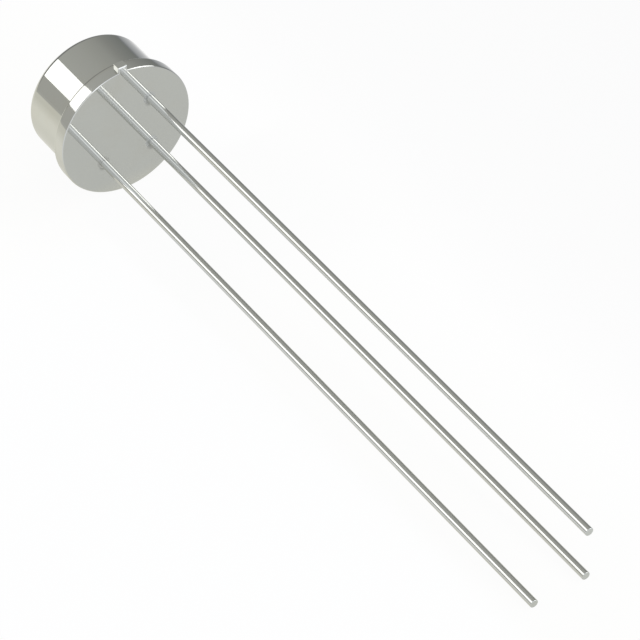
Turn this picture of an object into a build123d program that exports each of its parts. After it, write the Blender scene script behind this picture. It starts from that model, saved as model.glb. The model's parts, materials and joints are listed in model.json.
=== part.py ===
from build123d import *

import os
from math import asin, atan2, cos, degrees, hypot, radians

# A radio-frequency transistor in a low round metal can with three long wire leads.
#
# Every piece is built about the package's own axis: the seating plane is Z = 0, the
# can stands on the +Z side, the leads run to -Z and the index tab points along +X.
# Angles of the leads are counted from the tab towards +Y, which is clockwise for
# someone who looks at the leads. At the end one rotation lays the package on its side,
# as it rests on a table. All sizes are in millimetres.

# Leads
PIN_CIRCLE_DIA = 5.08
EMITTER_ANGLE = 45
BASE_ANGLE = 135
COLLECTOR_ANGLE = 225
LEAD_DIA = 0.533
LEAD_LENGTH = 44.77          # from the seating plane to the cut tip
LEAD_TIP_EDGE = 0.04         # edge broken by the cut
NECK_SWELL = 0.03            # radius gained along the neck, which is upset for its head
HEAD_OVERHANG = 0.19         # how far a post's head stands out from the lead's radius
HEAD_THICKNESS = 0.22
HEAD_EDGE = 0.05             # bevel round both edges of the head
POST_HEIGHT = 0.85           # from the top of the pedestal to the top of the head

# Header: the machined base that carries the leads and the chip
FLANGE_OVERHANG = 0.445      # how far the flange stands out from the can's wall
FLANGE_THICKNESS = 0.74
FLANGE_EDGE = 0.12           # rounded edge round the seating face and its tab
TAB_REACH = 0.385            # how far the index tab stands out from the flange
TAB_WIDTH = 0.63
TAB_THICKNESS = 0.58
PEDESTAL_HEIGHT = 0.80       # from the flange's upper face
PEDESTAL_EDGE = 0.15         # bevel that leads the can on
PEDESTAL_CLEARANCE = 0.06    # from the pedestal's wall to the can's bore

# Glass seals of the emitter and base leads, and the brazed socket of the collector lead
SEAL_WALL = 0.18             # thickness of the glass between lead and header
SEAL_RECESS = 0.03           # how far the glass stops inside the hole at both ends
SEAL_SAG = 0.05              # depth of the hollow that the molten glass left
BRAZE_WALL = 0.17            # thickness of the braze between lead and header
BRAZE_RECESS = 0.03          # how far the braze stops inside the socket's mouth
SOCKET_DEPTH = 1.00
SOCKET_TAPER = 0.02          # radius lost along the end that is pressed in the socket

# Can: a drawn cup with a weld flange
CAN_DIA = 8.51
OVERALL_HEIGHT = 4.83        # from the seating plane to the top of the can
CAN_WALL = 0.30
CAN_TOP_RADIUS = 0.45        # outer radius of the drawn corner
CAN_CEILING_BEVEL = 0.15     # inner side of the same corner
CAN_BEND_RADIUS = 0.12       # outer side of the bend between wall and weld flange
CAN_MOUTH_BEVEL = 0.25       # inner side of the same bend, which slides over the pedestal
CAN_RIM_EDGE = 0.10          # broken back edge of the weld flange

# Chip and what it stands on
SPREADER_SIZE = 2.00
SPREADER_THICKNESS = 0.25
SPREADER_EDGE = 0.04
ATTACH_FLOW = 0.04           # how far the die attach flows out beside the die
ATTACH_THICKNESS = 0.02
DIE_SIZE = 1.00
DIE_THICKNESS = 0.15

# Metal on the chip: two combs with fingers that lie between each other
METAL_THICKNESS = 0.008
METAL_MARGIN = 0.08          # bare border round the metal
BUS_WIDTH = 0.17             # the bar that joins a comb's fingers, wide enough to bond on
EMITTER_FINGERS = 7          # the base comb has one more, so that it lies on the outside
FINGER_GAP = 0.026           # between neighbouring fingers, and at a finger's end

# Bond wires: a flattened foot on the chip, a low loop and another foot on the post's head
WIRE_DIA = 0.038
WIRE_SIDES = 8
FOOT_LENGTH = 0.13
FOOT_WIDTH = 0.07
FOOT_HEIGHT = 0.022
LOOP_RISE = 0.22             # top of the loop above the post's head
CLIMB_RUN = 0.45             # length over which the wire climbs from the chip to the loop's top
DROP_RUN = 0.50              # length over which it comes down to the post
HEEL_RADIUS = 0.10           # bend where the wire leaves a foot
LOOP_RADIUS = 0.35           # bends at both ends of the loop's top
EMITTER_WIRE_SPACING = 0.34  # between the two emitter wires, on the chip and on the head

# Worked out from the sizes above
lead_r = LEAD_DIA / 2
pin_r = PIN_CIRCLE_DIA / 2
can_r = CAN_DIA / 2
bore_r = can_r - CAN_WALL
flange_r = can_r + FLANGE_OVERHANG
pedestal_r = bore_r - PEDESTAL_CLEARANCE
pedestal_top = FLANGE_THICKNESS + PEDESTAL_HEIGHT
head_top = pedestal_top + POST_HEIGHT
head_bottom = head_top - HEAD_THICKNESS
head_r = lead_r + HEAD_OVERHANG
seal_r = lead_r + SEAL_WALL
socket_r = lead_r + BRAZE_WALL
attach_bottom = pedestal_top + SPREADER_THICKNESS
die_bottom = attach_bottom + ATTACH_THICKNESS
die_top = die_bottom + DIE_THICKNESS
metal_top = die_top + METAL_THICKNESS
metal_size = DIE_SIZE - 2 * METAL_MARGIN
bus_x = metal_size / 2 - BUS_WIDTH / 2
wire_flat = WIRE_DIA * cos(radians(180 / WIRE_SIDES))


def at_pin(angle):
    """Place on the pin circle, at the height of the seating plane."""
    return Pos(pin_r * cos(radians(angle)), pin_r * cos(radians(angle - 90)))


def turned(*outline):
    """Solid of revolution from the lines and arcs of a half section (radius, height)."""
    edges = [edge for line in outline for edge in line.edges()]
    return revolve(Plane.XZ * make_face(edges), Axis.Z, 360)


def rims(solid, radius, height):
    """Circular edges of that radius round the package's axis, at that height."""
    circles = solid.edges().filter_by(GeomType.CIRCLE)
    return [e for e in circles
            if abs(e.radius - radius) < 1e-6 and abs(e.arc_center.Z - height) < 1e-6]


def neck_radius(height):
    """Radius of a post's neck, which swells evenly from the seating plane to its head."""
    return lead_r + NECK_SWELL * height / head_bottom


def socket_end_radius(height):
    """Radius of the collector lead's end, which narrows towards the socket's floor."""
    return lead_r - SOCKET_TAPER * height / SOCKET_DEPTH


# Header, seals and leads

def header():
    """Turned base with a flange, an index tab, two seal holes and one blind socket."""
    flange = Cylinder(flange_r, FLANGE_THICKNESS, align=(Align.CENTER, Align.CENTER, Align.MIN))
    tab = Box(flange_r + TAB_REACH, TAB_WIDTH, TAB_THICKNESS,
              align=(Align.MIN, Align.CENTER, Align.MIN))
    plate = flange + tab
    seating_face = plate.faces().sort_by(Axis.Z)[0]
    plate = fillet(seating_face.outer_wire().edges(), FLANGE_EDGE)
    pedestal = Pos(0, 0, FLANGE_THICKNESS) * Cylinder(
        pedestal_r, PEDESTAL_HEIGHT, align=(Align.CENTER, Align.CENTER, Align.MIN))
    pedestal = chamfer(rims(pedestal, pedestal_r, pedestal_top), PEDESTAL_EDGE)
    body = plate + pedestal
    for angle in (EMITTER_ANGLE, BASE_ANGLE):
        body -= at_pin(angle) * Cylinder(seal_r, 2 * pedestal_top)
    body -= at_pin(COLLECTOR_ANGLE) * Cylinder(socket_r, 2 * SOCKET_DEPTH)
    return body


def glass_seal():
    """Glass sleeve melted between a lead's neck and its hole, hollow where it can be seen."""
    inner_end = pedestal_top - SEAL_RECESS
    middle_r = (lead_r + seal_r) / 2
    return turned(
        ThreePointArc((neck_radius(0), 0), (middle_r, SEAL_SAG), (seal_r, SEAL_RECESS)),
        Polyline((seal_r, SEAL_RECESS), (seal_r, inner_end), (neck_radius(inner_end), inner_end),
                 (neck_radius(0), 0)))


def headed_lead():
    """Wire that runs through a seal and ends inside the can in a flat head to bond on."""
    post = turned(Polyline(
        (0, -LEAD_LENGTH),
        (lead_r - LEAD_TIP_EDGE, -LEAD_LENGTH),
        (lead_r, LEAD_TIP_EDGE - LEAD_LENGTH),
        (lead_r, 0),
        (neck_radius(head_bottom), head_bottom),
        (head_r, head_bottom),
        (head_r, head_top),
        (0, head_top),
        close=True))
    return chamfer(rims(post, head_r, head_bottom) + rims(post, head_r, head_top), HEAD_EDGE)


def collector_lead():
    """Wire that stands on the floor of the header's blind socket."""
    return turned(Polyline(
        (0, -LEAD_LENGTH),
        (lead_r - LEAD_TIP_EDGE, -LEAD_LENGTH),
        (lead_r, LEAD_TIP_EDGE - LEAD_LENGTH),
        (lead_r, 0),
        (socket_end_radius(SOCKET_DEPTH), SOCKET_DEPTH),
        (0, SOCKET_DEPTH),
        close=True))


def collector_braze():
    """Ring of braze that fills the socket round the collector lead's end."""
    return turned(Polyline(
        (socket_end_radius(BRAZE_RECESS), BRAZE_RECESS),
        (socket_r, BRAZE_RECESS),
        (socket_r, SOCKET_DEPTH),
        (socket_end_radius(SOCKET_DEPTH), SOCKET_DEPTH),
        close=True))


# Can

def can():
    """Drawn cup whose weld flange lies on the header's flange."""
    rim_top = FLANGE_THICKNESS + CAN_WALL
    ceiling = OVERALL_HEIGHT - CAN_WALL
    cup = turned(Polyline(
        (bore_r, FLANGE_THICKNESS),
        (flange_r, FLANGE_THICKNESS),
        (flange_r, rim_top),
        (can_r, rim_top),
        (can_r, OVERALL_HEIGHT),
        (0, OVERALL_HEIGHT),
        (0, ceiling),
        (bore_r, ceiling),
        close=True))
    cup = fillet(rims(cup, can_r, OVERALL_HEIGHT), CAN_TOP_RADIUS)
    cup = fillet(rims(cup, can_r, rim_top), CAN_BEND_RADIUS)
    cup = chamfer(rims(cup, bore_r, ceiling), CAN_CEILING_BEVEL)
    cup = chamfer(rims(cup, bore_r, FLANGE_THICKNESS), CAN_MOUTH_BEVEL)
    return chamfer(rims(cup, flange_r, rim_top), CAN_RIM_EDGE)


# Chip

def plate_at(size, thickness, bottom):
    """Square plate on the package's axis, with its lower face at that height."""
    return Pos(0, 0, bottom) * Box(
        size, size, thickness, align=(Align.CENTER, Align.CENTER, Align.MIN))


def heat_spreader():
    """Molybdenum tile that carries the chip on the pedestal."""
    tile = plate_at(SPREADER_SIZE, SPREADER_THICKNESS, pedestal_top)
    return chamfer(tile.faces().sort_by(Axis.Z)[-1].edges(), SPREADER_EDGE)


def die_attach():
    """Thin bed of gold solder, which flowed a little way out beside the die."""
    bed = plate_at(DIE_SIZE + 2 * ATTACH_FLOW, ATTACH_THICKNESS, attach_bottom)
    return fillet(bed.edges().filter_by(Axis.Z), ATTACH_FLOW)


def silicon_die():
    return plate_at(DIE_SIZE, DIE_THICKNESS, die_bottom)


def finger_places(count, pitch):
    """Even places across the chip, with the middle one on its centre line."""
    return [(i - (count - 1) / 2) * pitch for i in range(count)]


def comb(side, finger_count):
    """Metal comb on the chip: a bus bar at +X (side 1) or -X (side -1), and its fingers."""
    pitch = metal_size / (2 * EMITTER_FINGERS + 1) * 2
    finger_width = pitch / 2 - FINGER_GAP
    finger_length = metal_size - 2 * BUS_WIDTH - FINGER_GAP
    outline = Pos(side * bus_x, 0) * Rectangle(BUS_WIDTH, metal_size)
    finger_x = side * (metal_size / 2 - BUS_WIDTH - finger_length / 2)
    for y in finger_places(finger_count, pitch):
        outline += Pos(finger_x, y) * Rectangle(finger_length, finger_width)
    return Pos(0, 0, die_top) * extrude(outline, METAL_THICKNESS)


# Bond wires

def bond_foot(x, height):
    """Flattened end of a bond wire, on the surface at that height."""
    return Pos(x, 0, height) * Box(
        FOOT_LENGTH, FOOT_WIDTH, FOOT_HEIGHT, align=(Align.CENTER, Align.CENTER, Align.MIN))


def bond_wire(start, end):
    """Wire from its foot on the chip at start to its foot on a post's head at end (x, y)."""
    (x0, y0), (x1, y1) = start, end
    span = hypot(x1 - x0, y1 - y0)
    chip_heel = FOOT_LENGTH / 2
    post_heel = span - FOOT_LENGTH / 2
    lift = wire_flat / 2
    loop_top = head_top + LOOP_RISE
    path = FilletPolyline(
        (0, 0, metal_top + lift),
        (chip_heel, 0, metal_top + lift),
        (chip_heel + CLIMB_RUN, 0, loop_top),
        (post_heel - DROP_RUN, 0, loop_top),
        (post_heel, 0, head_top + lift),
        (span, 0, head_top + lift),
        radius=[HEEL_RADIUS, LOOP_RADIUS, LOOP_RADIUS, HEEL_RADIUS])
    section = Rot(0, 0, 180 / WIRE_SIDES) * RegularPolygon(WIRE_DIA / 2, WIRE_SIDES)
    wire = sweep(path.location_at(0) * section, path=path)
    heading = degrees(atan2(y1 - y0, x1 - x0))
    whole = wire + bond_foot(0, metal_top) + bond_foot(span, head_top)
    return Pos(x0, y0) * Rot(0, 0, heading) * whole


def pin_place(angle, sideways=0):
    """Point (x, y) on a post's head, moved sideways from its centre round the circle."""
    centre = at_pin(angle) * Pos(sideways * cos(radians(angle + 90)), sideways * cos(radians(angle)))
    return centre.position.X, centre.position.Y


def lay_down():
    """Rotation that brings the package to rest on its side, with the tab up.

    The package touches the table with the rounded edge of its flange and with the tips
    of the two leads that lie farther from the tab.
    """
    tip_rise = flange_r - FLANGE_EDGE + pin_r * cos(radians(BASE_ANGLE)) - lead_r
    tip_reach = LEAD_LENGTH - LEAD_TIP_EDGE + FLANGE_EDGE
    slope = atan2(tip_rise, tip_reach) + asin(FLANGE_EDGE / hypot(tip_rise, tip_reach))
    return Rot(0, degrees(slope) - 90, 0)


half_spacing = EMITTER_WIRE_SPACING / 2
pieces = {
    "header": header(),
    "can": can(),
    "glass_seal_emitter": at_pin(EMITTER_ANGLE) * glass_seal(),
    "glass_seal_base": at_pin(BASE_ANGLE) * glass_seal(),
    "emitter_lead": at_pin(EMITTER_ANGLE) * headed_lead(),
    "base_lead": at_pin(BASE_ANGLE) * headed_lead(),
    "collector_lead": at_pin(COLLECTOR_ANGLE) * collector_lead(),
    "collector_braze": at_pin(COLLECTOR_ANGLE) * collector_braze(),
    "heat_spreader": heat_spreader(),
    "die_attach": die_attach(),
    "silicon_die": silicon_die(),
    "emitter_comb": comb(1, EMITTER_FINGERS),
    "base_comb": comb(-1, EMITTER_FINGERS + 1),
    "emitter_bond_wire_1": bond_wire((bus_x, half_spacing), pin_place(EMITTER_ANGLE, half_spacing)),
    "emitter_bond_wire_2": bond_wire((bus_x, -half_spacing), pin_place(EMITTER_ANGLE, -half_spacing)),
    "base_bond_wire": bond_wire((-bus_x, 0), pin_place(BASE_ANGLE)),
}

os.makedirs("parts", exist_ok=True)
at_rest = lay_down()
for name, piece in pieces.items():
    export_step(at_rest * piece, f"parts/{name}.step")
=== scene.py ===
# %% [markdown]
# # A radio-frequency transistor in a low round metal can
# The part lies on a table with its three long leads towards us. Every outside piece is
# plated metal, so almost all of its look is what it mirrors: clean shapes with exact
# normals come first, and a studio that is worth mirroring comes second.
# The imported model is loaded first. It is fixed: it says where each piece is and how big,
# and what is made below only replaces its plain shapes and finishes.

import json
import math

import bmesh
import bpy
from mathutils import Matrix, Vector


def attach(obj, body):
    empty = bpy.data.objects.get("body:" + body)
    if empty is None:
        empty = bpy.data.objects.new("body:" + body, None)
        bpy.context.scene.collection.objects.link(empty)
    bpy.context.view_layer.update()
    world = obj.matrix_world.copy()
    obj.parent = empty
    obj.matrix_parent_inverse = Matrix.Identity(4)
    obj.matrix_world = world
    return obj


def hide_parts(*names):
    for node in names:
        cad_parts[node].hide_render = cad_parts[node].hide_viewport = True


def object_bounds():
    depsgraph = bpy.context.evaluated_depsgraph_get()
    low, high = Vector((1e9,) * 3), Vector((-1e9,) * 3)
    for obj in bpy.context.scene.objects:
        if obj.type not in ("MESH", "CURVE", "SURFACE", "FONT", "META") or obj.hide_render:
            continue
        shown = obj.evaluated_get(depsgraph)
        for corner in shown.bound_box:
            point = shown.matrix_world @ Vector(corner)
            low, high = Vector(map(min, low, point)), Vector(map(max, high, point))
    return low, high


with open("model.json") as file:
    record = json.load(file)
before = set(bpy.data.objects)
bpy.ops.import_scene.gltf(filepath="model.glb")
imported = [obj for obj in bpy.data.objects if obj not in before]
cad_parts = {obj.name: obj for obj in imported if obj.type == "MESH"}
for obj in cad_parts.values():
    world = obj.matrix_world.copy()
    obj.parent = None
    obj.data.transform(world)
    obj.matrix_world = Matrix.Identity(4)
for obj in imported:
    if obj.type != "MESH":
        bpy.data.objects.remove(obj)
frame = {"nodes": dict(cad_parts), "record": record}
cad_low, cad_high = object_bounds()
MM = 0.001
print("model box in mm:", [round(v / MM, 2) for v in (*cad_low, *cad_high)])

# %% [markdown]
# ## Camera
# A long lens from some twenty centimetres away keeps the three leads almost parallel.
# The camera is aimed at a point on the table and then rolled a little, as one tilts a
# hand-held camera, because a roll is easier to set after the aim than with it. It could
# also be moved by hand until the view fits, but typed numbers give the same view each run.

# %% Camera
CAMERA_PLACE = Vector((0.14605, -0.08014, 0.12810))
CAMERA_AIM = Vector((0.01772, 0.00237, -0.00468))
CAMERA_ROLL = math.radians(2.667)
CAMERA_LENS = 187.9
CAMERA_NEAR = 0.01

bpy.ops.object.camera_add(location=CAMERA_PLACE)
camera = bpy.context.object
camera.name = "camera"
camera.rotation_euler = (CAMERA_AIM - CAMERA_PLACE).to_track_quat("-Z", "Y").to_euler()
camera.rotation_euler.rotate_axis("Z", -CAMERA_ROLL)
camera.data.lens = CAMERA_LENS
camera.data.clip_start = CAMERA_NEAR
bpy.context.scene.camera = camera
print("camera is", round((CAMERA_AIM - CAMERA_PLACE).length / MM), "mm from its aim")

# %% [markdown]
# ## The package's own axes
# The package lies on its side with a slight slope, because it rests on the edge of its
# flange and on the tips of two leads. Turned parts are easiest to draw upright, so each
# piece is made standing: its seating plane at height 0, the can upwards, the leads
# downwards and the index tab along X. One rotation then lays it down.
# The record's mounts give the slope, and the places and radii of the leads. Larger sizes
# are measured on the model's own nodes. Walls, edges and other small sizes come where
# they are first needed. They are in mm and mostly repeat the model's values.

# %% Axes and sizes from the frame
mounts = {mount["name"]: mount for mount in frame["record"]["mounts"]}
lead_direction = Vector(mounts["seating_plane"]["axis"])
slope = math.atan2(-lead_direction.z, lead_direction.x)
LAID_DOWN = Matrix.Rotation(slope - math.pi / 2, 4, "Y")
STANDING = LAID_DOWN.inverted()


def standing_box(node):
    """Lowest and highest corner of a node of the frame in the upright axes, in mm."""
    places = [STANDING @ v.co / MM for v in frame["nodes"][node].data.vertices]
    return Vector(map(min, *places)), Vector(map(max, *places))


def pin_place(lead):
    """Where a lead passes the seating plane, in the upright axes, in mm."""
    return STANDING @ Vector(mounts[lead]["pos_m"]) / MM


can_low, can_high = standing_box("can")
header_high = standing_box("header")[1]
lead_low, lead_high = standing_box("emitter_lead")
seal_low, seal_high = standing_box("glass_seal_emitter")
braze_low, braze_high = standing_box("collector_braze")

flange_r = (can_high.x - can_low.x) / 2
can_r = mounts["can_wall"]["dims"]["r_mm"]
can_top = can_high.z
flange_top = can_low.z
pedestal_top = header_high.z
tab_end = header_high.x
lead_r = mounts["emitter_lead"]["dims"]["r_mm"]
lead_tip = lead_low.z
head_r = (lead_high.x - lead_low.x) / 2
head_top = lead_high.z
seal_r = (seal_high.x - seal_low.x) / 2
socket_r = (braze_high.x - braze_low.x) / 2
socket_depth = braze_high.z
print("slope", round(math.degrees(slope), 3), "degrees")
print("flange", round(flange_r, 3), "can", can_r, "by", round(can_top, 3), "lead", lead_r)
print("head", round(head_r, 3), "at", round(head_top, 3), "tip", round(lead_tip, 3))
print("seal", round(seal_r, 3), "socket", round(socket_r, 3), "deep", round(socket_depth, 3))

# %% [markdown]
# ## Tools for turned pieces
# A can, a seal or a lead is a solid of revolution. By hand one draws half of its section
# as a line beside the axis and spins the line round: a primitive is merged to one
# vertex, the vertex is extruded from corner to corner, and corners are rounded by a
# vertex bevel, whose offset along both lines equals the radius at a right angle.
# After a full spin the last ring lies on the first, and both ends on the axis are many
# vertices in one place, so doubles are merged before the normals are turned outwards.
# Sizes are given in mm and become metres when they are multiplied by MM. Two sizes that
# differ by less than a thousandth of a mm are the same.

# %% Draw and spin half sections
SAME_SIZE = 1e-3
MERGE_DISTANCE = SAME_SIZE * MM
print("sizes are the same within", SAME_SIZE, "mm")


def select_where(piece, wanted):
    """Selects, in edit mode, only the vertices whose place in mm passes the test."""
    bpy.ops.mesh.select_mode(type="VERT")
    bpy.ops.mesh.select_all(action="DESELECT")
    mesh = bmesh.from_edit_mesh(piece.data)
    for vertex in mesh.verts:
        vertex.select = wanted(vertex.co / MM)
    mesh.select_flush_mode()
    bmesh.update_edit_mesh(piece.data)


def near(value, target):
    """Whether two sizes in mm are the same."""
    return abs(value - target) < SAME_SIZE


def draw_half_section(name, corners):
    """Line through corners (radius, height) in mm, drawn by extruding one vertex."""
    bpy.ops.object.select_all(action="DESELECT")
    bpy.ops.mesh.primitive_plane_add(size=MM)
    piece = bpy.context.object
    piece.name = piece.data.name = name
    bpy.ops.object.mode_set(mode="EDIT")
    bpy.ops.mesh.merge(type="CENTER")
    radius, height = corners[0]
    bpy.ops.transform.translate(value=(radius * MM, 0, height * MM))
    for (r0, h0), (r1, h1) in zip(corners, corners[1:]):
        step = ((r1 - r0) * MM, 0, (h1 - h0) * MM)
        bpy.ops.mesh.extrude_vertices_move(TRANSFORM_OT_translate={"value": step})
    return piece


def round_corner(piece, corner, offset, segments):
    """Rounds one corner (radius, height) of a drawn line."""
    radius, height = corner
    select_where(piece, lambda co: near(co.x, radius) and near(co.z, height))
    bpy.ops.mesh.bevel(
        offset_type="OFFSET", offset=offset * MM, segments=segments, affect="VERTICES")


def spin_round(piece, sides):
    """Spins the drawn line round the axis and leaves a clean shell in object mode."""
    bpy.ops.mesh.select_all(action="SELECT")
    bpy.ops.mesh.spin(
        steps=sides, angle=2 * math.pi, center=(0, 0, 0), axis=(0, 0, 1))
    bpy.ops.mesh.select_all(action="SELECT")
    bpy.ops.mesh.remove_doubles(threshold=MERGE_DISTANCE)
    bpy.ops.mesh.normals_make_consistent(inside=False)
    bpy.ops.object.mode_set(mode="OBJECT")


# %% [markdown]
# A mirror shows every small fault of its normals. Plain smooth shading averages a flat
# face's normal with that of the narrow bevel beside it, and the flat face then mirrors
# like a dented one. The Weighted Normal modifier lets the largest face decide, so flats
# stay flat and the bevels alone do the turning.

# %% Shade, lay down and hand over a piece
SMOOTH_BELOW = math.radians(32)
LARGEST_FACE_LEADS = 100
print("smooth below", round(math.degrees(SMOOTH_BELOW)), "degrees")


def apply_modifier(piece, kind, **settings):
    """Adds a modifier with these settings and applies it."""
    modifier = piece.modifiers.new(kind.title(), kind)
    for setting, value in settings.items():
        setattr(modifier, setting, value)
    bpy.context.view_layer.objects.active = piece
    bpy.ops.object.modifier_apply(modifier=modifier.name)


def pick(piece):
    """Makes a piece the only selected object."""
    bpy.ops.object.select_all(action="DESELECT")
    piece.select_set(True)
    bpy.context.view_layer.objects.active = piece


def shade(piece):
    """Smooths the bevels and keeps flats flat and hard edges hard."""
    pick(piece)
    bpy.ops.object.shade_smooth_by_angle(angle=SMOOTH_BELOW)
    apply_modifier(piece, "WEIGHTED_NORMAL", keep_sharp=True, weight=LARGEST_FACE_LEADS)


def shell_facts(piece):
    """Edges without exactly two faces, of which a closed shell has none, and volume in mm3."""
    mesh = bmesh.new()
    mesh.from_mesh(piece.data)
    count = sum(len(edge.link_faces) != 2 for edge in mesh.edges)
    volume = mesh.calc_volume(signed=True) / MM ** 3
    mesh.free()
    return count, volume


def place(piece, node, at=(0, 0, 0)):
    """Shades an upright piece, lays it down at its place in mm and lets it stand for a node."""
    shade(piece)
    piece.location = LAID_DOWN @ (Vector(at) * MM)
    piece.rotation_euler = LAID_DOWN.to_euler()
    bpy.ops.object.transform_apply(location=True, rotation=True, scale=True)
    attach(piece, "root")
    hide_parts(node)
    count, volume = shell_facts(piece)
    print(piece.name, "faces", len(piece.data.polygons), "open edges", count,
          "volume", round(volume, 4), "mm3")


# %% [markdown]
# ## Can
# The can is drawn from thin sheet into a cup, with a round corner at its closed end, and
# its mouth is turned out into a weld flange. Sheet has one thickness everywhere, so only
# the outside is drawn, and a Solidify modifier gives it its wall on the inner side.
# A step count is the number of narrow faces that stand for a round edge.

# %% Can
CAN_WALL = 0.30
CAN_TOP_RADIUS = 0.45
CAN_TOP_STEPS = 16
CAN_BEND_RADIUS = 0.12
CAN_EDGE_STEPS = 8
FLANGE_SIDES = 280

can_rim_top = flange_top + CAN_WALL
can_corner = (can_r, can_top)
can_bend = (can_r, can_rim_top)
can = draw_half_section("drawn_can", [
    (0, can_top), can_corner, can_bend, (flange_r, can_rim_top)])
round_corner(can, can_corner, CAN_TOP_RADIUS, CAN_TOP_STEPS)
round_corner(can, can_bend, CAN_BEND_RADIUS, CAN_EDGE_STEPS)
spin_round(can, FLANGE_SIDES)
apply_modifier(can, "SOLIDIFY", thickness=CAN_WALL * MM, offset=-1, use_even_offset=True)
print("can with a wall of", CAN_WALL, "mm:", len(can.data.polygons), "faces")

# %% [markdown]
# The press leaves the flange's upper rim round, where the model has a plain bevel. The
# drawn line ended there, so it had no corner to round before the sheet got its wall. Now
# the rim is an edge loop, which is selected by its place and bevelled.

# %% Rounded rim of the can's flange
CAN_RIM_EDGE = 0.17

pick(can)
bpy.ops.object.mode_set(mode="EDIT")
select_where(can, lambda co: near(co.z, can_rim_top) and near(co.xy.length, flange_r))
bpy.ops.mesh.bevel(
    offset_type="OFFSET", offset=CAN_RIM_EDGE * MM, segments=CAN_EDGE_STEPS, affect="EDGES")
bpy.ops.object.mode_set(mode="OBJECT")
place(can, "can")

# %% [markdown]
# ## Header
# The header is one turned base: a flange that the can is welded to, with an index tab
# that marks the emitter, and a pedestal inside the can. It could be spun like the can,
# but a cylinder has its seating face as one polygon, which mirrors without a flaw. It
# has the can's 280 sides, of which three to each side of X are just as wide as the tab.
# So these six faces are cut at the tab's thickness, pulled out along X, and their end is
# flattened by scaling it to nothing along X.

# %% Flange and index tab
TAB_SIDES = 3
TAB_THICKNESS = 0.58
FLAT_WITHIN = math.radians(0.1)
FULL_TURN = 360

tab_half_width = flange_r * math.sin(math.radians(FULL_TURN / FLANGE_SIDES * TAB_SIDES))
bpy.ops.object.select_all(action="DESELECT")
bpy.ops.mesh.primitive_cylinder_add(
    vertices=FLANGE_SIDES, radius=flange_r * MM, depth=flange_top * MM,
    location=(0, 0, flange_top / 2 * MM))
header = bpy.context.object
header.name = header.data.name = "turned_header"
bpy.ops.object.transform_apply(location=True)
bpy.ops.object.mode_set(mode="EDIT")


def at_tab(co):
    """Whether a place in mm is on the flange's side where the tab grows."""
    beside_x = co.x > 0 and abs(co.y) < tab_half_width + SAME_SIZE
    return beside_x and co.xy.length > flange_r - SAME_SIZE


select_where(header, at_tab)
bpy.ops.mesh.bisect(
    plane_co=(0, 0, TAB_THICKNESS * MM), plane_no=(0, 0, 1), threshold=MERGE_DISTANCE)
select_where(header, lambda co: at_tab(co) and co.z < TAB_THICKNESS + SAME_SIZE)
bpy.ops.mesh.extrude_region_move(
    TRANSFORM_OT_translate={"value": ((tab_end - flange_r) * MM, 0, 0)})
bpy.ops.transform.resize(value=(0, 1, 1), center_override=(tab_end * MM, 0, 0))
bpy.ops.mesh.select_all(action="SELECT")
bpy.ops.mesh.dissolve_limited(angle_limit=FLAT_WITHIN)
print("flange:", len(bmesh.from_edit_mesh(header.data).faces), "faces, with a tab",
      round(2 * tab_half_width, 3), "mm wide")

# %% [markdown]
# Tumbling rounds the edge of the seating face all the way round, over the tab and
# through its two inner corners. The edge lies between the face that looks down and the
# sides. Picking it by hand would take many clicks, so it is found by the normals of its
# two faces: exactly one of them looks down. The rounding is finer than the model's.

# %% Rounded edge of the seating face
FLANGE_EDGE = 0.08
FLANGE_EDGE_STEPS = 6
FACES_DOWN = -0.9

bpy.ops.mesh.select_mode(type="EDGE")
bpy.ops.mesh.select_all(action="DESELECT")
mesh = bmesh.from_edit_mesh(header.data)
for edge in mesh.edges:
    downwards = [face.normal.z < FACES_DOWN for face in edge.link_faces]
    edge.select = sorted(downwards) == [False, True]
mesh.select_flush_mode()
bmesh.update_edit_mesh(header.data)
bpy.ops.mesh.bevel(
    offset_type="OFFSET", offset=FLANGE_EDGE * MM, segments=FLANGE_EDGE_STEPS, affect="EDGES")
print("with its edge round:", len(bmesh.from_edit_mesh(header.data).faces), "faces")

# %% [markdown]
# The pedestal grows out of the flange's upper face: an inset leaves the ring that the
# can is welded to, an extrusion lifts the rest, and a plain bevel leads the can on. A
# second cylinder would have to be joined to the flange, and this way both are one shell.

# %% Pedestal
PEDESTAL_RADIUS = 3.895
PEDESTAL_EDGE = 0.15

select_where(header, lambda co: near(co.z, flange_top))
bpy.ops.mesh.inset(thickness=(flange_r - PEDESTAL_RADIUS) * MM)
bpy.ops.mesh.extrude_region_move(
    TRANSFORM_OT_translate={"value": (0, 0, (pedestal_top - flange_top) * MM)})
select_where(header, lambda co: near(co.z, pedestal_top))
bpy.ops.mesh.bevel(offset_type="OFFSET", offset=PEDESTAL_EDGE * MM, segments=1, affect="EDGES")
bpy.ops.object.mode_set(mode="OBJECT")
print("with its pedestal:", len(header.data.polygons), "faces")

# %% [markdown]
# Two holes go through the header for the glass seals, and a blind socket takes the
# collector's lead. Round holes could be inset by hand into the seating face, but not
# without a web of faces round them. So they are drilled with the Boolean modifier, each
# by a cylinder that is thrown away afterwards.

# %% Drill the seal holes and the socket
LEAD_SIDES = 64


def drill(piece, at, radius, depth):
    """Drills a hole of that depth upwards from the seating plane. Sizes are in mm."""
    bpy.ops.object.select_all(action="DESELECT")
    bpy.ops.mesh.primitive_cylinder_add(
        vertices=LEAD_SIDES, radius=radius * MM, depth=2 * depth * MM,
        location=Vector((at.x, at.y, 0)) * MM)
    cutter = bpy.context.object
    pick(piece)
    apply_modifier(piece, "BOOLEAN", operation="DIFFERENCE", solver="EXACT", object=cutter)
    bpy.data.objects.remove(cutter)


right_through = 2 * pedestal_top
drill(header, pin_place("emitter_lead"), seal_r, right_through)
drill(header, pin_place("base_lead"), seal_r, right_through)
drill(header, pin_place("collector_lead"), socket_r, socket_depth)
place(header, "header")

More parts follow.
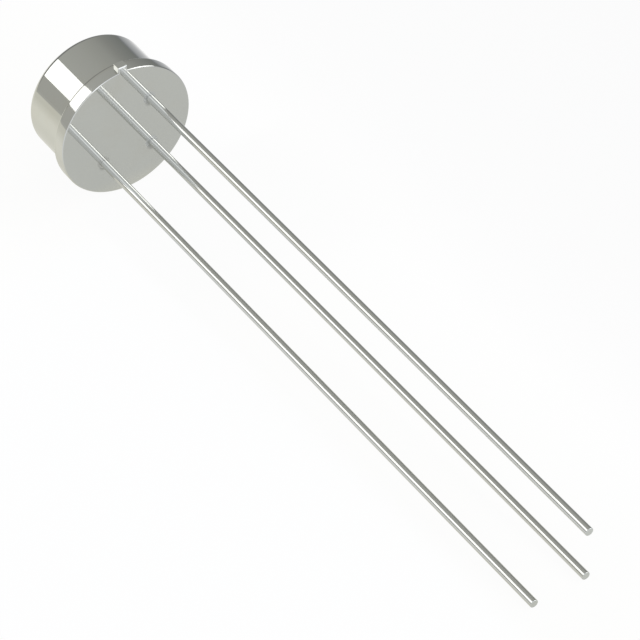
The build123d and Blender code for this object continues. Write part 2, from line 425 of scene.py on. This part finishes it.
# %% [markdown]
# ## Leads
# The emitter's and the base's lead run through their seals and end in a flat head, which
# gives the bond wires a place to land. The head is upset from the wire, so the neck
# below it swells a little. A lead could be a cylinder with bevelled ends, but the swell
# and the head are turned shapes, and one spun line gives them all. The headed lead is
# drawn once and copied, each copy with its own mesh.

# %% Headed lead
HEAD_THICKNESS = 0.22
HEAD_EDGE = 0.05
NECK_SWELL = 0.03
LEAD_TIP_EDGE = 0.04
LEAD_EDGE_STEPS = 4


def second_of(piece, name):
    """A copy of a piece, with its own mesh."""
    copy = piece.copy()
    copy.data = piece.data.copy()
    copy.name = copy.data.name = name
    bpy.context.collection.objects.link(copy)
    return copy


head_bottom = head_top - HEAD_THICKNESS
neck_r = lead_r + NECK_SWELL
headed_lead = draw_half_section("emitter_post", [
    (0, lead_tip), (lead_r, lead_tip), (lead_r, 0), (neck_r, head_bottom),
    (head_r, head_bottom), (head_r, head_top), (0, head_top)])
round_corner(headed_lead, (lead_r, lead_tip), LEAD_TIP_EDGE, LEAD_EDGE_STEPS)
round_corner(headed_lead, (head_r, head_bottom), HEAD_EDGE, LEAD_EDGE_STEPS)
round_corner(headed_lead, (head_r, head_top), HEAD_EDGE, LEAD_EDGE_STEPS)
spin_round(headed_lead, LEAD_SIDES)
base_lead = second_of(headed_lead, "base_post")
place(headed_lead, "emitter_lead", pin_place("emitter_lead"))
place(base_lead, "base_lead", pin_place("base_lead"))

# %% [markdown]
# The collector's lead has no head: it stands in its socket, and its end is drawn in by a
# hair, so that it goes in. Cutting the head off a copy would leave an open end to close,
# and a line of five corners is quicker.

# %% Collector lead
SOCKET_TAPER = 0.02

collector_lead = draw_half_section("collector_wire", [
    (0, lead_tip), (lead_r, lead_tip), (lead_r, 0),
    (lead_r - SOCKET_TAPER, socket_depth), (0, socket_depth)])
round_corner(collector_lead, (lead_r, lead_tip), LEAD_TIP_EDGE, LEAD_EDGE_STEPS)
spin_round(collector_lead, LEAD_SIDES)
place(collector_lead, "collector_lead", pin_place("collector_lead"))

# %% [markdown]
# ## Glass seals and braze
# Molten glass wets the lead and the wall of its hole. At its upper end it climbs both and
# leaves a very shallow hollow between them: one corner in the half section, rounded with
# a large bevel. At its lower end it runs almost flat from the lead to the wall. Both ends
# stay inside the header, though nearer to flush than the model's, so nothing stands proud
# of the seating plane. A plain sleeve would look nearly the same from outside, but molten
# glass never ends square.

# %% Glass seals
SEAL_SAG = 0.002
SEAL_BEND = 0.07
SEAL_BEND_STEPS = 8
SEAL_RECESS = 0.004

seal_top = pedestal_top - SEAL_RECESS
middle_r = (lead_r + seal_r) / 2
neck_at_top = lead_r + NECK_SWELL * seal_top / head_bottom
seal_corners = [
    (lead_r, 0), (middle_r, SEAL_SAG), (seal_r, SEAL_RECESS),
    (seal_r, seal_top), (middle_r, seal_top - SEAL_SAG / 2), (neck_at_top, seal_top)]
seal = draw_half_section("emitter_glass", [*seal_corners, seal_corners[0]])
round_corner(seal, seal_corners[1], SEAL_BEND, SEAL_BEND_STEPS)
round_corner(seal, seal_corners[4], SEAL_BEND, SEAL_BEND_STEPS)
spin_round(seal, LEAD_SIDES)
base_seal = second_of(seal, "base_glass")
place(seal, "glass_seal_emitter", pin_place("emitter_lead"))
place(base_seal, "glass_seal_base", pin_place("base_lead"))

# %% [markdown]
# The braze fills the ring between the collector's lead and its socket and ends a hair
# inside it. The socket hides all but that end, so a sleeve with four corners is enough.

# %% Braze
BRAZE_RECESS = 0.012

braze_start = lead_r - SOCKET_TAPER * BRAZE_RECESS / socket_depth
braze_corners = [
    (braze_start, BRAZE_RECESS), (socket_r, BRAZE_RECESS),
    (socket_r, socket_depth), (lead_r - SOCKET_TAPER, socket_depth)]
braze = draw_half_section("collector_braze_ring", [*braze_corners, braze_corners[0]])
spin_round(braze, LEAD_SIDES)
place(braze, "collector_braze", pin_place("collector_lead"))


# %% [markdown]
# ## Shader maths
# A finish is arithmetic: a stain is a noise above a limit, a scratch is a stretched noise,
# and roughness is a sum of such masks. Nodes could be added and linked one by one, but
# written as Python expressions the sum stays readable. One small class wraps the output
# of a node. Its operators add Math nodes, and its method node adds any other node, with
# settings first and the values of its sockets second. The Mix node has a set of sockets
# for each type of value, and those for colours have the numbers below.

# %% A field over the surface
MIX_COLOURS = (6, 7)
MIX_RESULT = 2


class Field:
    """One output of a shader node, on which sums and products add their Math nodes."""

    def __init__(self, tree, socket=None):
        self.tree = tree
        self.socket = socket

    def node(self, kind, settings=None, inputs=None, output=0):
        """Adds a node: its settings first, then the values or links of its sockets."""
        made = self.tree.nodes.new(kind)
        for name, value in (settings or {}).items():
            if name == "stops":
                elements = made.color_ramp.elements
                while len(elements) < len(value):
                    elements.new(0.5)
                for element, (position, colour) in zip(elements, value):
                    element.position = position
                    element.color = (*colour, 1)
            else:
                setattr(made, name, value)
        for name, value in (inputs or {}).items():
            if isinstance(value, Field):
                self.tree.links.new(value.socket, made.inputs[name])
            else:
                made.inputs[name].default_value = value
        return Field(self.tree, made.outputs[output] if made.outputs else None)

    def maths(self, operation, first, second):
        """Adds a Math node on two fields or numbers."""
        return self.node("ShaderNodeMath", {"operation": operation}, {0: first, 1: second})

    def __add__(self, other):
        return self.maths("ADD", self, other)

    def __sub__(self, other):
        return self.maths("SUBTRACT", self, other)

    def __rsub__(self, other):
        return self.maths("SUBTRACT", other, self)

    def __mul__(self, other):
        return self.maths("MULTIPLY", self, other)

    __radd__ = __add__
    __rmul__ = __mul__

    def ease(self, low, high):
        """0 below low, 1 above high and a smooth step between them."""
        return self.node("ShaderNodeMapRange", {"interpolation_type": "SMOOTHSTEP"},
                         {"Value": self, "From Min": low, "From Max": high})

    def blend(self, first, second):
        """The first colour where this field is 0, the second where it is 1."""
        inputs = {0: self}
        for socket, colour in zip(MIX_COLOURS, (first, second)):
            inputs[socket] = colour if isinstance(colour, Field) else (*colour, 1)
        return self.node("ShaderNodeMix", {"data_type": "RGBA"}, inputs, output=MIX_RESULT)


# %% [markdown]
# ## How a finish starts
# Every pattern is laid out in the same upright millimetres as the pieces were. Object
# coordinates are metres in the laid-down frame, so one Mapping node turns and scales
# them, and the distance from an axis follows from two of them. Such patterns need no
# unwrapping, as painted images would, and they stay sharp from near. The parts of the
# shader that are the same all over a piece are set on the shader's own sockets.
# In the finishes below, the first number of a noise is its waves a millimetre. The two
# numbers of ease are the values between which it turns from 0 to 1, and the number
# beside a mask is the most that the mask adds.

# %% Start and end of a finish
UPRIGHT = STANDING.to_euler()
NOISE_ROUGHNESS = 0.55
# Where the painted shade under each lead's foot lies and how wide it is, in mm.
FOOT_SHADE_SHIFT = 0.34
FOOT_SHADE_RADII = (0.42, 0.10)
print("patterns turn by", [round(math.degrees(turn), 2) for turn in UPRIGHT], "degrees")


class Finish:
    """A new material: its tree as a field, its shader, and the place in upright mm."""

    def __init__(self, name, metallic):
        self.material = bpy.data.materials.new(name)
        self.material.use_nodes = True
        self.shader = self.material.node_tree.nodes["Principled BSDF"]
        self.shader.inputs["Metallic"].default_value = metallic
        self.start = Field(self.material.node_tree)
        laid = self.start.node("ShaderNodeTexCoord", output="Object")
        self.place = self.start.node("ShaderNodeMapping", inputs={
            "Vector": laid, "Rotation": UPRIGHT, "Scale": (1 / MM, 1 / MM, 1 / MM)})

    def along(self, axis):
        """Place in mm along one of the upright axes."""
        return self.start.node("ShaderNodeSeparateXYZ", inputs={0: self.place}, output=axis)

    def distance(self, x, y):
        """Distance in mm from the upright line through x and y."""
        away = self.start.node("ShaderNodeVectorMath", {"operation": "SUBTRACT"},
                               {0: self.place, 1: (x, y, 0)})
        across = self.start.node("ShaderNodeVectorMath", {"operation": "MULTIPLY"},
                                 {0: away, 1: (1, 1, 0)})
        return self.start.node("ShaderNodeVectorMath", {"operation": "LENGTH"},
                               {0: across}, output="Value")

    def noise(self, scale, detail=2.0, stretch=(1, 1, 1)):
        """Smooth noise from 0 to 1, about scale waves a millimetre, drawn out by stretch."""
        drawn = self.start.node("ShaderNodeVectorMath", {"operation": "MULTIPLY"},
                                {0: self.place, 1: stretch})
        return self.start.node("ShaderNodeTexNoise", inputs={
            "Vector": drawn, "Scale": scale, "Detail": detail, "Roughness": NOISE_ROUGHNESS})

    def cells(self, scale):
        """Distance from the middle of the nearest of many small cells."""
        return self.start.node("ShaderNodeTexVoronoi", inputs={
            "Vector": self.place, "Scale": scale})

    def painted_foot_shade(self, *leads):
        """1 in a soft spot of painted shade under each of these leads, on the side away from the
        tab.
        """
        pins = [pin_place(lead) for lead in leads]
        return sum(self.distance(pin.x - FOOT_SHADE_SHIFT, pin.y).ease(*FOOT_SHADE_RADII)
                   for pin in pins)

    def show(self, colour, roughness, relief, depth):
        """Links the varying sockets. The depth of the relief is in mm."""
        tree = self.material.node_tree
        bump = self.start.node("ShaderNodeBump", inputs={
            "Strength": 1.0, "Distance": depth * MM, "Height": relief})
        for name, field in (("Base Color", colour), ("Roughness", roughness), ("Normal", bump)):
            tree.links.new(field.socket, self.shader.inputs[name])

    def wear_on(self, *pieces):
        """Gives these pieces the material, in place of any they have."""
        for piece in pieces:
            if piece.material_slots:
                for slot in piece.material_slots:
                    slot.material = self.material
            else:
                piece.data.materials.append(self.material)
        print(self.material.name, "on", [piece.name for piece in pieces],
              len(self.material.node_tree.nodes), "nodes")


# %% [markdown]
# ## Nickel of the can
# The can has a thin bright nickel over drawn steel, a slightly yellowish white metal. The
# die leaves faint marks along the axis, the sheet keeps a slow waviness that makes
# straight reflections swim a little, and years of air leave a weak warm bloom. Plating is
# thinner and rubbed on the rims, which handling has scratched, so they are duller. One
# even mirror would be quicker, but metal without any of this looks like a drawing.

# %% Nickel of the can
NICKEL = (0.612, 0.617, 0.588)
NICKEL_BLOOM = (0.600, 0.592, 0.548)
NICKEL_WORN = (0.63, 0.632, 0.615)
NICKEL_RELIEF = 0.0012
CAN_ROUGHNESS = 0.040
RIM_WEAR = (flange_r - 0.10, flange_r - 0.02)
CROWN_WEAR_ACROSS = (can_r - 0.35, can_r - 0.12)
CROWN_WEAR_UP = (can_top - 0.30, can_top - 0.08)

finish = Finish("bright_nickel", metallic=1)
radius = finish.distance(0, 0)
height = finish.along("Z")
bloom = finish.noise(0.35, detail=4).ease(0.50, 0.72)
die_marks = finish.noise(9.0, stretch=(1, 1, 0.04))
specks = finish.noise(5.5, detail=3).ease(0.70, 0.78)
scratches = finish.noise(3.0, stretch=(0.3, 2.0, 7.0)).ease(0.70, 0.74)
rim = radius.ease(*RIM_WEAR) * height.ease(can_rim_top - CAN_RIM_EDGE, can_rim_top)
crown = radius.ease(*CROWN_WEAR_ACROSS) * height.ease(*CROWN_WEAR_UP)
waviness = finish.noise(0.28, detail=1)
finish.show(
    (rim * 0.7).blend((bloom * 0.6).blend(NICKEL, NICKEL_BLOOM), NICKEL_WORN),
    CAN_ROUGHNESS + die_marks * 0.016 + bloom * 0.02 + specks * 0.10 + scratches * 0.05
    + (rim + crown) * 0.04,
    waviness * 1.0 + die_marks * 0.010 - specks * 0.02 - scratches * 0.01,
    depth=NICKEL_RELIEF)
finish.wear_on(can)

# %% [markdown]
# ## Nickel of the header
# The header was turned, then tumbled and plated with the same nickel. Tumbling takes most
# of the tool's rings away: what is left of them shows mainly in the roughness, as circles
# round the axis. Two edges of the tab carry a painted highlight, a lighter, matt strip,
# and under the foot of each lead lies a soft spot of painted shade, a little duller too.
# All of them lie in known places, so each is a mask of a distance or a height, and no
# image has to be painted.

# %% Nickel of the header
TOOL_RINGS_PER_MM = 7.0
NICKEL_IN_FOOT_SHADE = (0.38, 0.38, 0.36)
NICKEL_PAINTED_HIGHLIGHT = (0.80, 0.81, 0.80)
HEADER_ROUGHNESS = 0.042
EDGE_WEAR = (flange_r - 0.06, flange_r)
TAB_START = (flange_r + 0.01, flange_r + 0.04)
TAB_HIGHLIGHT_WIDTH = 0.06
TAB_HIGHLIGHT_FADE = 0.03
TAB_HIGHLIGHT_HEIGHT = (0.08, 0.05)

finish = Finish("turned_nickel", metallic=1)
radius = finish.distance(0, 0)
height = finish.along("Z")
bloom = finish.noise(0.4, detail=4).ease(0.48, 0.75)
wander = finish.noise(0.9)
rings = finish.start.maths(
    "SINE", (radius + wander * 0.15) * (2 * math.pi * TOOL_RINGS_PER_MM), 0)
patches = finish.noise(0.8, detail=3).ease(0.35, 0.70)
specks = finish.noise(6.0, detail=3).ease(0.70, 0.78)
edge = radius.ease(*EDGE_WEAR)
on_tab = radius.ease(*TAB_START)
# Painted highlight: a lighter, matt strip along the tab's end and its +Y side, near the seating
# face.
outwards = tab_end - TAB_HIGHLIGHT_WIDTH
sidewards = tab_half_width - TAB_HIGHLIGHT_WIDTH
tab_edges = finish.along("X").ease(outwards - TAB_HIGHLIGHT_FADE, outwards)
tab_edges = tab_edges + finish.along("Y").ease(sidewards - TAB_HIGHLIGHT_FADE, sidewards)
painted_tab_highlight = tab_edges * on_tab * height.ease(*TAB_HIGHLIGHT_HEIGHT)
# Painted shade: a darker, slightly rougher spot under the foot of each lead.
painted_foot_shade = finish.painted_foot_shade("emitter_lead", "base_lead", "collector_lead")
waviness = finish.noise(0.25, detail=1)
plated = (edge * 0.5).blend((bloom * 0.5).blend(NICKEL, NICKEL_BLOOM), NICKEL_WORN)
finish.show(
    painted_tab_highlight.blend(painted_foot_shade.blend(plated, NICKEL_IN_FOOT_SHADE), NICKEL_PAINTED_HIGHLIGHT),
    HEADER_ROUGHNESS + rings * patches * 0.006 + bloom * 0.015 + specks * 0.08 + edge * 0.03
    + painted_foot_shade * 0.10 + painted_tab_highlight * 0.30,
    waviness * 1.0 + rings * patches * 0.004 - specks * 0.02,
    depth=NICKEL_RELIEF)
finish.wear_on(header)

# %% [markdown]
# ## Tin on the leads
# The leads are wire of a glass-sealing alloy of iron, nickel and cobalt with a coat of
# bright tin. Drawing leaves lines along the wire, which spread a highlight a little
# sideways, and the dip leaves slow swellings. The tips were cut after tinning, so the cut
# face shows the bare, greyer alloy with a coarser grain. The cut could be a second
# material on its faces, but a mask of the height gives it a soft border for nothing.

# %% Tin on the leads
TIN = (0.618, 0.623, 0.602)
TIN_DULL = (0.585, 0.585, 0.56)
LEAD_ALLOY = (0.58, 0.60, 0.595)
CUT_DEPTH = 0.03
TIN_ROUGHNESS = 0.125
TIN_RELIEF = 0.0010

finish = Finish("bright_tin", metallic=1)
drawn_lines = finish.noise(14.0, detail=3, stretch=(1, 1, 0.02))
swellings = finish.noise(0.9, detail=1, stretch=(1, 1, 0.5))
dull = finish.noise(0.8, detail=4).ease(0.50, 0.75)
cut = 1 - finish.along("Z").ease(lead_tip + CUT_DEPTH * 0.5, lead_tip + CUT_DEPTH)
grain = finish.noise(12.0, detail=4)
finish.show(
    cut.blend((dull * 0.5).blend(TIN, TIN_DULL), LEAD_ALLOY),
    TIN_ROUGHNESS + drawn_lines * 0.020 + dull * 0.03 + cut * (0.10 + grain * 0.1),
    swellings * 1.0 + drawn_lines * 0.03 + cut * grain * 0.5,
    depth=TIN_RELIEF)
finish.wear_on(headed_lead, base_lead, collector_lead)

# %% [markdown]
# ## Sealing glass and braze
# Sealing glass is opaque and grey, because metal oxide from the wall has dissolved in it.
# Its skin is fire-polished, so a coat gives it a gloss over a body with tiny closed
# bubbles. It lets a little light in to the metal behind it. Transmission would be slow
# for so small a ring, so a partly metallic body under a coat of high IOR stands for it.

# %% Sealing glass
GLASS_BODY = (0.46, 0.47, 0.45)
GLASS_OXIDE = (0.40, 0.41, 0.39)
GLASS_IN_FOOT_SHADE = (0.22, 0.225, 0.21)
GLASS_METALLIC = 0.45
GLASS_IOR = 1.9
GLASS_ROUGHNESS = 0.07
GLASS_RELIEF = 0.0003
COAT_ROUGHNESS = 0.05

finish = Finish("sealing_glass", metallic=GLASS_METALLIC)
finish.shader.inputs["IOR"].default_value = GLASS_IOR
finish.shader.inputs["Coat Weight"].default_value = 1
finish.shader.inputs["Coat IOR"].default_value = GLASS_IOR
finish.shader.inputs["Coat Roughness"].default_value = COAT_ROUGHNESS
clouds = finish.noise(1.6, detail=4).ease(0.40, 0.70)
bubbles = 1 - finish.cells(14.0).ease(0.10, 0.22)
# Painted shade: the same spot under each lead darkens the glass too.
painted_foot_shade = finish.painted_foot_shade("emitter_lead", "base_lead")
body = (clouds * 0.7 + bubbles * 0.3).blend(GLASS_BODY, GLASS_OXIDE)
finish.show(
    (painted_foot_shade * 0.9).blend(body, GLASS_IN_FOOT_SHADE),
    GLASS_ROUGHNESS + bubbles * 0.15 + clouds * 0.05 + painted_foot_shade * 0.10,
    clouds * 0.5 - bubbles * 0.5,
    depth=GLASS_RELIEF)
finish.wear_on(seal, base_seal)

# %% [markdown]
# The braze round the collector's lead froze as a dull silvery ring with a crystalline
# skin. Crystals could be a noise, but small cells have the facets that crystals have.

# %% Braze finish
BRAZE_SILVER = (0.60, 0.60, 0.575)
BRAZE_DULL = (0.50, 0.50, 0.475)
BRAZE_ROUGHNESS = 0.12
BRAZE_RELIEF = 0.001

finish = Finish("silver_braze", metallic=1)
crystals = finish.cells(12.0)
dull = finish.noise(5.0, detail=4).ease(0.35, 0.65)
finish.show(
    dull.blend(BRAZE_SILVER, BRAZE_DULL),
    BRAZE_ROUGHNESS + dull * 0.10 + crystals * 0.04,
    crystals + dull * 0.3,
    depth=BRAZE_RELIEF)
finish.wear_on(braze)

# %% [markdown]
# ## The working pieces inside
# These nodes of the frame keep their shapes and only get finishes: the closed can hides
# them, and their plain forms are the real ones. A moly tile with a gold flash spreads
# the chip's heat, and gold-silicon solder with dark stains holds the chip. They differ
# in colours and grain only, so one helper makes both.

# %% Gold-flashed moly and gold solder


def soft_metal(name, clean, stained, roughness, grain_scale, depth, stretch=(1, 1, 1)):
    """A metal with stains and one grain, for the small pieces inside. The depth is in mm."""
    finish = Finish(name, metallic=1)
    stains = finish.noise(grain_scale / 5, detail=4).ease(0.45, 0.75)
    grain = finish.noise(grain_scale, detail=3, stretch=stretch)
    finish.show(
        stains.blend(clean, stained),
        roughness + grain * 0.10 + stains * 0.08,
        grain + stains * 0.3, depth=depth)
    return finish


nodes = frame["nodes"]
finish = soft_metal("gold_flashed_moly", clean=(0.78, 0.66, 0.42), stained=(0.60, 0.54, 0.42),
                    roughness=0.22, grain_scale=12, depth=0.002)
finish.wear_on(nodes["heat_spreader"])
finish = soft_metal("gold_solder", clean=(0.83, 0.66, 0.33), stained=(0.55, 0.44, 0.26),
                    roughness=0.16, grain_scale=9, depth=0.003)
finish.wear_on(nodes["die_attach"])

# %% [markdown]
# An evaporated aluminium film makes the two combs on the chip, with a very fine grain.
# The bond wires are soft drawn aluminium, matt and bright. The same helper serves both.

# %% Aluminium film and bond wires
finish = soft_metal("aluminium_film", clean=(0.84, 0.84, 0.82), stained=(0.76, 0.76, 0.74),
                    roughness=0.16, grain_scale=60, depth=0.0004)
finish.wear_on(nodes["emitter_comb"], nodes["base_comb"])
finish = soft_metal("bond_wire_aluminium", clean=(0.86, 0.86, 0.84), stained=(0.78, 0.78, 0.77),
                    roughness=0.25, grain_scale=40, depth=0.0006, stretch=(1, 1, 0.2))
finish.wear_on(
    nodes["emitter_bond_wire_1"], nodes["emitter_bond_wire_2"], nodes["base_bond_wire"])

# %% [markdown]
# The chip is polished silicon. It is no metal, but its IOR is so high that it mirrors
# strongly, so it gets a finish of its own. A thin oxide film tints it in patches, and
# the saw has left fine lines.

# %% Silicon
SILICON = (0.115, 0.125, 0.15)
OXIDE_TINT = (0.16, 0.13, 0.20)
SILICON_IOR = 2.5
SILICON_ROUGHNESS = 0.05
SAW_RELIEF = 0.0003

finish = Finish("silicon", metallic=0)
finish.shader.inputs["IOR"].default_value = SILICON_IOR
film = finish.noise(2.5, detail=2).ease(0.35, 0.65)
sawn = finish.noise(60, detail=2, stretch=(1, 1, 0.1))
finish.show(
    film.blend(SILICON, OXIDE_TINT),
    SILICON_ROUGHNESS + sawn * 0.06 + film * 0.02,
    sawn, depth=SAW_RELIEF)
finish.wear_on(nodes["silicon_die"])

# %% [markdown]
# ## Studio
# Polished metal shows the room and hardly anything of its own, so the room is the finish.
# The sky of this studio is two rows of pale paper walls. The rows lie along the leads,
# so what a lead or the can's wall shows depends only on the angle round X: the rear row
# is what they mirror directly, and the front row is what they mirror again in the header.
# Each row is a colour ramp over that angle, from the table towards +Y at -90 degrees,
# over the top, to the table towards -Y at 90 degrees. The far end is a dim opening.
# The borders of the front row and of the far end are the X of a direction of length one.
# Real cards on stands could do the same, but a ramp is changed by one number.

# %% Paper walls in the world
REAR_WALLS = [
    (-90, (0.245, 0.255, 0.245)),
    (-74, (0.290, 0.300, 0.290)),
    (-58, (0.340, 0.345, 0.330)),
    (-42, (0.415, 0.420, 0.400)),
    (-26, (0.455, 0.460, 0.435)),
    (-10, (0.490, 0.495, 0.470)),
    (6, (0.510, 0.515, 0.490)),
    (22, (0.530, 0.535, 0.510)),
    (62, (0.520, 0.520, 0.490)),
    (90, (0.520, 0.520, 0.490)),
]
FRONT_WALLS = [
    (-90, (0.69, 0.70, 0.73)),
    (-44, (0.98, 1.00, 1.05)),
    (-24, (1.08, 1.11, 1.18)),
    (-8, (0.99, 1.02, 1.08)),
    (6, (1.48, 1.52, 1.62)),
    (18, (2.00, 2.06, 2.19)),
    (30, (1.40, 1.44, 1.53)),
    (44, (1.00, 1.03, 1.09)),
    (60, (0.98, 1.01, 1.07)),
    (90, (1.08, 1.11, 1.17)),
]
FAR_END = (0.25, 0.25, 0.25)
FRONT_ROW_BORDER = (0.25, 0.60)
FAR_END_BORDER = (-0.76, -0.86)

world = bpy.data.worlds.new("studio")
bpy.context.scene.world = world
world.use_nodes = True
world.node_tree.nodes.clear()
studio = Field(world.node_tree)
direction = studio.node("ShaderNodeTexCoord", output="Generated")
forwards = studio.node("ShaderNodeSeparateXYZ", inputs={0: direction}, output="X")
sideways = Field(world.node_tree, forwards.socket.node.outputs["Y"])
upwards = Field(world.node_tree, forwards.socket.node.outputs["Z"])
full_turns = studio.maths("ARCTAN2", sideways * -1, upwards) * (0.5 / math.pi) + 0.5


def row_of_walls(stops):
    """Colour ramp over one full turn round X, from stops in degrees."""
    return studio.node("ShaderNodeValToRGB", {
        "stops": [(0.5 + angle / FULL_TURN, colour) for angle, colour in stops]}, {0: full_turns})


front_row = forwards.ease(*FRONT_ROW_BORDER)
rows = front_row.blend(row_of_walls(REAR_WALLS), row_of_walls(FRONT_WALLS))
paper = forwards.ease(*FAR_END_BORDER).blend(rows, FAR_END)
background = studio.node("ShaderNodeBackground", inputs={"Color": paper})
studio.node("ShaderNodeOutputWorld", inputs={"Surface": background})
print("walls:", len(REAR_WALLS), "rear and", len(FRONT_WALLS), "front stops")

# %% [markdown]
# ## Softboxes
# Three softboxes hang in front of the walls, each with one side along X. The rear one
# draws the white band on the can and the bright line on each lead. The front one draws
# the bright lines in the header's mirror, and the rim one the fine line on the header's
# seating edge. A softbox could be a glowing plane, but an area lamp is sampled with less
# noise. Each is given by what the part sees of it: its angle round X, its span in degrees
# and its two ends. Its power follows from its area, so that a larger one isn't paler.

# %% Softboxes
SOFTBOX_DISTANCE = 0.6


def softbox(name, angle, span, near_end, far_end, radiance):
    """Area lamp along X. Angles are degrees as seen from the part, lengths are metres."""
    height = 2 * SOFTBOX_DISTANCE * math.tan(math.radians(span) / 2)
    turn = math.radians(angle)
    away = Vector((0, -math.sin(turn), math.cos(turn)))
    middle = away * SOFTBOX_DISTANCE + Vector(((near_end + far_end) / 2, 0, 0))
    bpy.ops.object.light_add(type="AREA", location=middle)
    box = bpy.context.object
    box.name = name
    box.rotation_euler = away.to_track_quat("Z", "Y").to_euler()
    box.data.shape = "RECTANGLE"
    box.data.size = abs(far_end - near_end)
    box.data.size_y = height
    box.data.energy = radiance * math.pi * box.data.size * height
    print(name, "at", [round(v, 2) for v in middle], "m,", round(box.data.energy, 2), "W")


softbox("rear_softbox", angle=44.5, span=36, near_end=-0.20, far_end=-0.75, radiance=1.62)
softbox("front_softbox", angle=-65, span=32, near_end=0.36, far_end=0.80, radiance=2.8)
softbox("rim_softbox", angle=-48, span=42, near_end=-0.10, far_end=0.26, radiance=2.1)

# %% [markdown]
# ## Floor
# The part lies on a wide sheet of pale paper. A square plane would do, but a round sheet
# ends at the same distance on all sides, so its rim is even in what the metal mirrors.

# %% Sheet
SHEET_RADIUS = 1.5
SHEET_SIDES = 96

bpy.ops.object.select_all(action="DESELECT")
bpy.ops.mesh.primitive_circle_add(
    radius=SHEET_RADIUS, vertices=SHEET_SIDES, fill_type="NGON", location=(0, 0, cad_low.z))
floor = bpy.context.object
floor.name = "floor"
print("sheet", 2 * SHEET_RADIUS, "m wide at height", round(cad_low.z / MM, 2), "mm")

# %% [markdown]
# The paper is graded across Y: a little darker under the part, as painted shade, nearly
# white to both sides of it, then cream towards -Y and grey towards +Y. In front of the
# header lies a soft grey patch of painted shadow, where the part shades the paper most,
# and beside it towards -Y the paper is a bluish white. Plain white paper would be simpler,
# but metal that mirrors only white loses its form. All of it is laid out in the sheet's own
# Object coordinates, so it lies on the table and follows no camera. Places are in mm, and
# each soft border has two: where it starts from nothing, and where it is complete.

# %% Tone of the paper
SHEET_GRADE_REACH = 120
# The darker stops from -6 to 5 mm lie under the part and are painted shade.
SHEET_GRADE_AND_SHADE = [
    (-100, (0.55, 0.55, 0.52)),
    (-75, (0.81, 0.80, 0.72)),
    (-30, (0.81, 0.80, 0.72)),
    (-19, (0.89, 0.88, 0.80)),
    (-13, (0.98, 0.97, 0.89)),
    (-9, (0.97, 0.96, 0.88)),
    (-6, (0.89, 0.88, 0.80)),
    (-3, (0.83, 0.82, 0.75)),
    (5, (0.90, 0.90, 0.85)),
    (10, (0.98, 0.98, 0.98)),
    (12, (0.86, 0.86, 0.87)),
    (16, (0.68, 0.68, 0.70)),
    (22, (0.56, 0.57, 0.59)),
    (34, (0.48, 0.49, 0.51)),
    (54, (0.41, 0.42, 0.44)),
    (120, (0.26, 0.27, 0.28)),
]
FRONT_WHITE = (0.95, 0.97, 1.00)
PAINTED_SHADOW = (0.745, 0.755, 0.740)
FRONT_STARTS_X = (1, 5)
FRONT_STARTS_Y = (-2.5, -4.5)
SHADOW_STARTS_X = (-1, 1)
SHADOW_ENDS_X = (16, 9)
SHADOW_STARTS_Y = (-4.5, -2.5)
SHADOW_ENDS_Y = (15, 9)

material = bpy.data.materials.new("graded_paper")
material.use_nodes = True
material.node_tree.nodes.clear()
sheet = Field(material.node_tree)
place_on_sheet = sheet.node("ShaderNodeTexCoord", output="Object")
forwards = sheet.node("ShaderNodeSeparateXYZ", inputs={0: place_on_sheet}, output="X")
sideways = Field(material.node_tree, forwards.socket.node.outputs["Y"])
width = 2 * SHEET_GRADE_REACH
paper_grade_and_shade = sheet.node("ShaderNodeValToRGB", {
    "stops": [((y + SHEET_GRADE_REACH) / width, colour) for y, colour in SHEET_GRADE_AND_SHADE]},
    {0: sideways * (1 / (width * MM)) + 0.5})


def inside(field, border):
    """0 outside of a soft border in mm and 1 inside it."""
    outer, inner = border
    return field.ease(outer * MM, inner * MM)


front = inside(forwards, FRONT_STARTS_X) * inside(sideways, FRONT_STARTS_Y)
# Painted shadow in front of the header, seen mostly in what the metal mirrors.
painted_shadow = (
    inside(forwards, SHADOW_STARTS_X) * inside(forwards, SHADOW_ENDS_X)
    * inside(sideways, SHADOW_STARTS_Y) * inside(sideways, SHADOW_ENDS_Y))
tone = painted_shadow.blend(front.blend(paper_grade_and_shade, FRONT_WHITE), PAINTED_SHADOW)
print("paper graded in", len(SHEET_GRADE_AND_SHADE), "stops over", width, "mm")

# %% [markdown]
# To the camera the sheet is almost pure white, with the part's shadow in it. For glossy
# and transmission rays a share of the paper's own colour is added, so that metal and
# glass mirror an evenly lit table with the painted shade and shadow of its colour. More
# light would whiten the sheet too, but it would bleach the part as well.

# %% What the paper shows
CAMERA_WHITE = 0.94
MIRRORED_PAPER = 0.8

paper = sheet.node("ShaderNodeBsdfDiffuse", inputs={"Color": tone})
to_camera = sheet.node("ShaderNodeLightPath", output="Is Camera Ray")
glossy = Field(material.node_tree, to_camera.socket.node.outputs["Is Glossy Ray"])
through = Field(material.node_tree, to_camera.socket.node.outputs["Is Transmission Ray"])
even = sheet.node("ShaderNodeEmission", inputs={"Color": to_camera.blend(tone, (1, 1, 1))})
shown = sheet.node("ShaderNodeMixShader", inputs={
    0: to_camera * CAMERA_WHITE + (glossy + through) * MIRRORED_PAPER, 1: paper, 2: even})
sheet.node("ShaderNodeOutputMaterial", inputs={"Surface": shown})
floor.data.materials.append(material)
print(material.name, "on", floor.name, len(material.node_tree.nodes), "nodes")

# %% [markdown]
# ## Colour view
# Standard view transform shows colours as they are written.

# %% Colour view
bpy.context.scene.view_settings.view_transform = "Standard"
